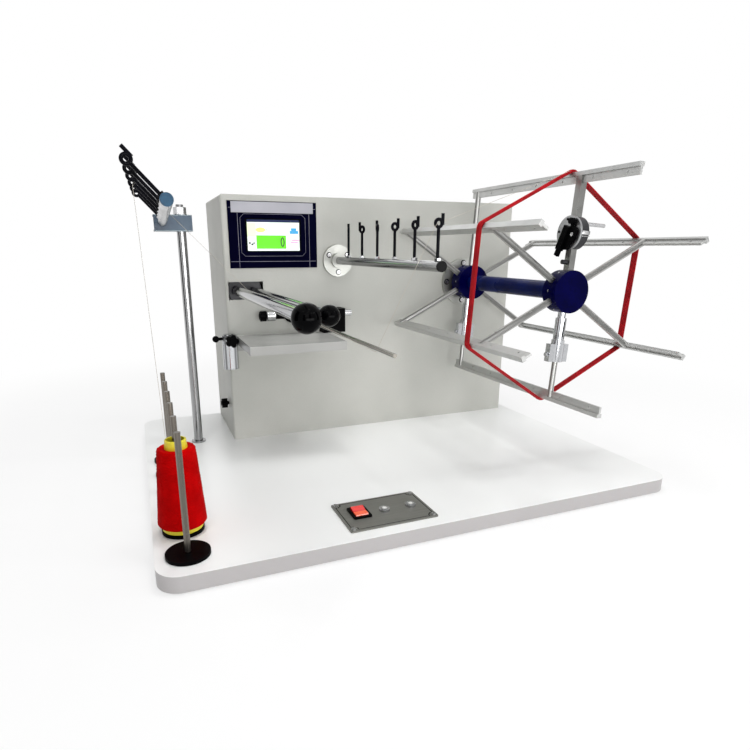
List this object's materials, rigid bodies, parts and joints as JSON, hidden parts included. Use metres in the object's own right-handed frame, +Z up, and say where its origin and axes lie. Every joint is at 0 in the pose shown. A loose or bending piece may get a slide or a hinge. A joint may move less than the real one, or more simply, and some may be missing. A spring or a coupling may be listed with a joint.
{
  "type": "yarn length measuring machine",
  "caption": "Bench wrap reel that winds set lengths of yarn from pegged packages over guides and tension rods onto a hexagonal reel.",
  "frame": {"origin": "centre of the underside of the non-slip sheet, on the surface the machine stands on", "axes": "+X to the right along the front edge, +Y towards the back of the cabinet, +Z up"},
  "size_m": [0.756, 0.6071, 0.4608],
  "materials": {
    "pad": "matt",
    "board": "wood board with a satin white coat",
    "cabinet_paint": "fine textured warm grey",
    "screw_steel": "bright",
    "navy_panel": "smooth navy film",
    "bare_strip": "bare",
    "screen": "lit colour screen",
    "circuit": "circuit board green",
    "black_plastic": "moulded",
    "machined_steel": "turned",
    "motor_case": "black",
    "bracket_steel": "plain",
    "belt_rubber": "matt",
    "chrome": "polished",
    "satin_steel": "satin",
    "bracket_paint": "satin blue grey",
    "navy_cap": "navy",
    "black_wire": "black lacquer",
    "yarn_thread": "thin thread",
    "switch_plate": "engraved border",
    "navy_anodised": "anodised navy",
    "blue_anodised": "anodised blue",
    "bar_aluminium": "drawn",
    "skein_yarn": "wound yarn",
    "ball_plastic": "polished black",
    "rocker_red": "translucent red",
    "button_steel": "turned",
    "yarn_package": "wound yarn on a yellow cone"
  },
  "bodies": {
    "machine": {"base_pad": "pad", "base_board": "board", "cabinet_shell": "cabinet_paint", "rear_cover": "cabinet_paint", "fasteners": "screw_steel", "display_panel": "navy_panel", "name_strip": "bare_strip", "display_module": "screen", "control_electronics": "circuit", "power_inlet": "black_plastic", "reel_flange": "machined_steel", "shaft_bearings": "machined_steel", "motors": "motor_case", "inner_brackets": "bracket_steel", "drive_belt": "belt_rubber", "guide_flange": "machined_steel", "rod_holder": "black_plastic", "tension_shelf": "satin_steel", "spring_barrel": "chrome", "stand_post": "satin_steel", "stand_bracket": "bracket_paint", "upper_guide_tube": "satin_steel", "upper_tube_cap": "navy_cap", "upper_yarn_guides": "black_wire", "peg_discs": "black_plastic", "creel_pegs": "satin_steel", "yarn_run": "yarn_thread", "switch_plate": "switch_plate", "rocker_bezel": "black_plastic", "button_rings": "chrome"},
    "reel": {"reel_shaft": "machined_steel", "reel_pulley": "bracket_steel", "hubs": "navy_anodised", "hub_tube": "blue_anodised", "spokes": "chrome", "reel_bars": "bar_aluminium", "skein": "skein_yarn", "adjuster_drum": "motor_case", "arm_sleeves": "chrome"},
    "adjuster": {"adjuster_plate": "machined_steel", "adjuster_lever": "black_plastic"},
    "release": {"release_rods": "chrome", "release_bar": "bar_aluminium"},
    "traverse": {"guide_bar": "satin_steel", "guide_bar_cap": "navy_cap", "yarn_guides": "black_wire", "traverse_carriage": "bracket_steel"},
    "lead_screw": {"lead_screw": "machined_steel"},
    "motor_pulley": {"motor_pulley": "bracket_steel"},
    "tension": {"tension_rods": "chrome", "ball_knobs": "ball_plastic"},
    "deflector": {"deflector_rod": "chrome"},
    "holder_knob": {"holder_knob": "black_plastic"},
    "barrel_knob": {"barrel_knob": "black_plastic"},
    "barrel_lever": {"barrel_lever": "black_plastic"},
    "side_knob": {"side_knob": "black_plastic"},
    "rocker": {"rocker": "rocker_red"},
    "start_button": {"start_button": "button_steel"},
    "stop_button": {"stop_button": "button_steel"},
    "cone": {"yarn_cone": "yarn_package"}
  },
  "joints": [
    {"name": "reel_spin", "type": "hinge", "parent": "machine", "child": "reel", "pos_m": [0.2387, -0.1748, 0.2908], "axis": [0, 1, 0], "continuous": true},
    {"name": "motor_spin", "type": "hinge", "parent": "machine", "child": "motor_pulley", "pos_m": [0.1437, 0.1984, 0.1115], "axis": [0, 1, 0], "continuous": true},
    {"name": "release_slide", "type": "slide", "parent": "reel", "child": "release", "axis": [0.0628, 0, 0.998], "range_m": [0, 0.02], "deforming": ["skein"]},
    {"name": "adjuster_turn", "type": "hinge", "parent": "reel", "child": "adjuster", "pos_m": [0.22196, -0.1748, 0.37502], "axis": [0.998, 0, -0.0628], "range_deg": [-40, 60]},
    {"name": "traverse_slide", "type": "slide", "parent": "machine", "child": "traverse", "axis": [0, 1, 0], "range_m": [-0.0175, 0.0175], "deforming": ["yarn_run"]},
    {"name": "lead_screw_spin", "type": "hinge", "parent": "machine", "child": "lead_screw", "pos_m": [-0.0174, 0.1664, 0.2898], "axis": [0, 1, 0], "range_deg": [-790, 790]},
    {"name": "tension_turn", "type": "hinge", "parent": "machine", "child": "tension", "pos_m": [-0.1809, 0.1364, 0.2837], "axis": [0, 1, 0], "range_deg": [-20, 20]},
    {"name": "deflector_slide", "type": "slide", "parent": "machine", "child": "deflector", "axis": [0, 1, 0], "range_m": [-0.01, 0.005]},
    {"name": "holder_knob_turn", "type": "hinge", "parent": "machine", "child": "holder_knob", "pos_m": [-0.1328, 0.1024, 0.2413], "axis": [1, 0, 0], "range_deg": [-180, 180]},
    {"name": "barrel_knob_turn", "type": "hinge", "parent": "machine", "child": "barrel_knob", "pos_m": [-0.2155, 0.0819, 0.2056], "axis": [0, 1, 0], "range_deg": [-180, 180]},
    {"name": "barrel_lever_turn", "type": "hinge", "parent": "machine", "child": "barrel_lever", "pos_m": [-0.2305, 0.1019, 0.2066], "axis": [1, 0, 0], "range_deg": [-60, 60]},
    {"name": "side_knob_turn", "type": "hinge", "parent": "machine", "child": "side_knob", "pos_m": [-0.2185, 0.1604, 0.0799], "axis": [1, 0, 0], "range_deg": [-180, 180]},
    {"name": "rocker_turn", "type": "hinge", "parent": "machine", "child": "rocker", "pos_m": [-0.11475, -0.2354, 0.0225], "axis": [1, 0, 0], "range_deg": [-14, 0]},
    {"name": "start_press", "type": "slide", "parent": "machine", "child": "start_button", "axis": [0, 0, -1], "range_m": [0, 0.0012], "stiffness_N_per_m": 300},
    {"name": "stop_press", "type": "slide", "parent": "machine", "child": "stop_button", "axis": [0, 0, -1], "range_m": [0, 0.0012], "stiffness_N_per_m": 300},
    {"name": "cone_lift", "type": "slide", "parent": "machine", "child": "cone", "axis": [0, 0, 1], "range_m": [0, 0.145]}
  ],
  "couplings": [
    {"joint": "motor_spin", "follows": "reel_spin", "ratio": 2},
    {"joint": "lead_screw_spin", "follows": "traverse_slide", "rad_per_m": 785.4}
  ]
}
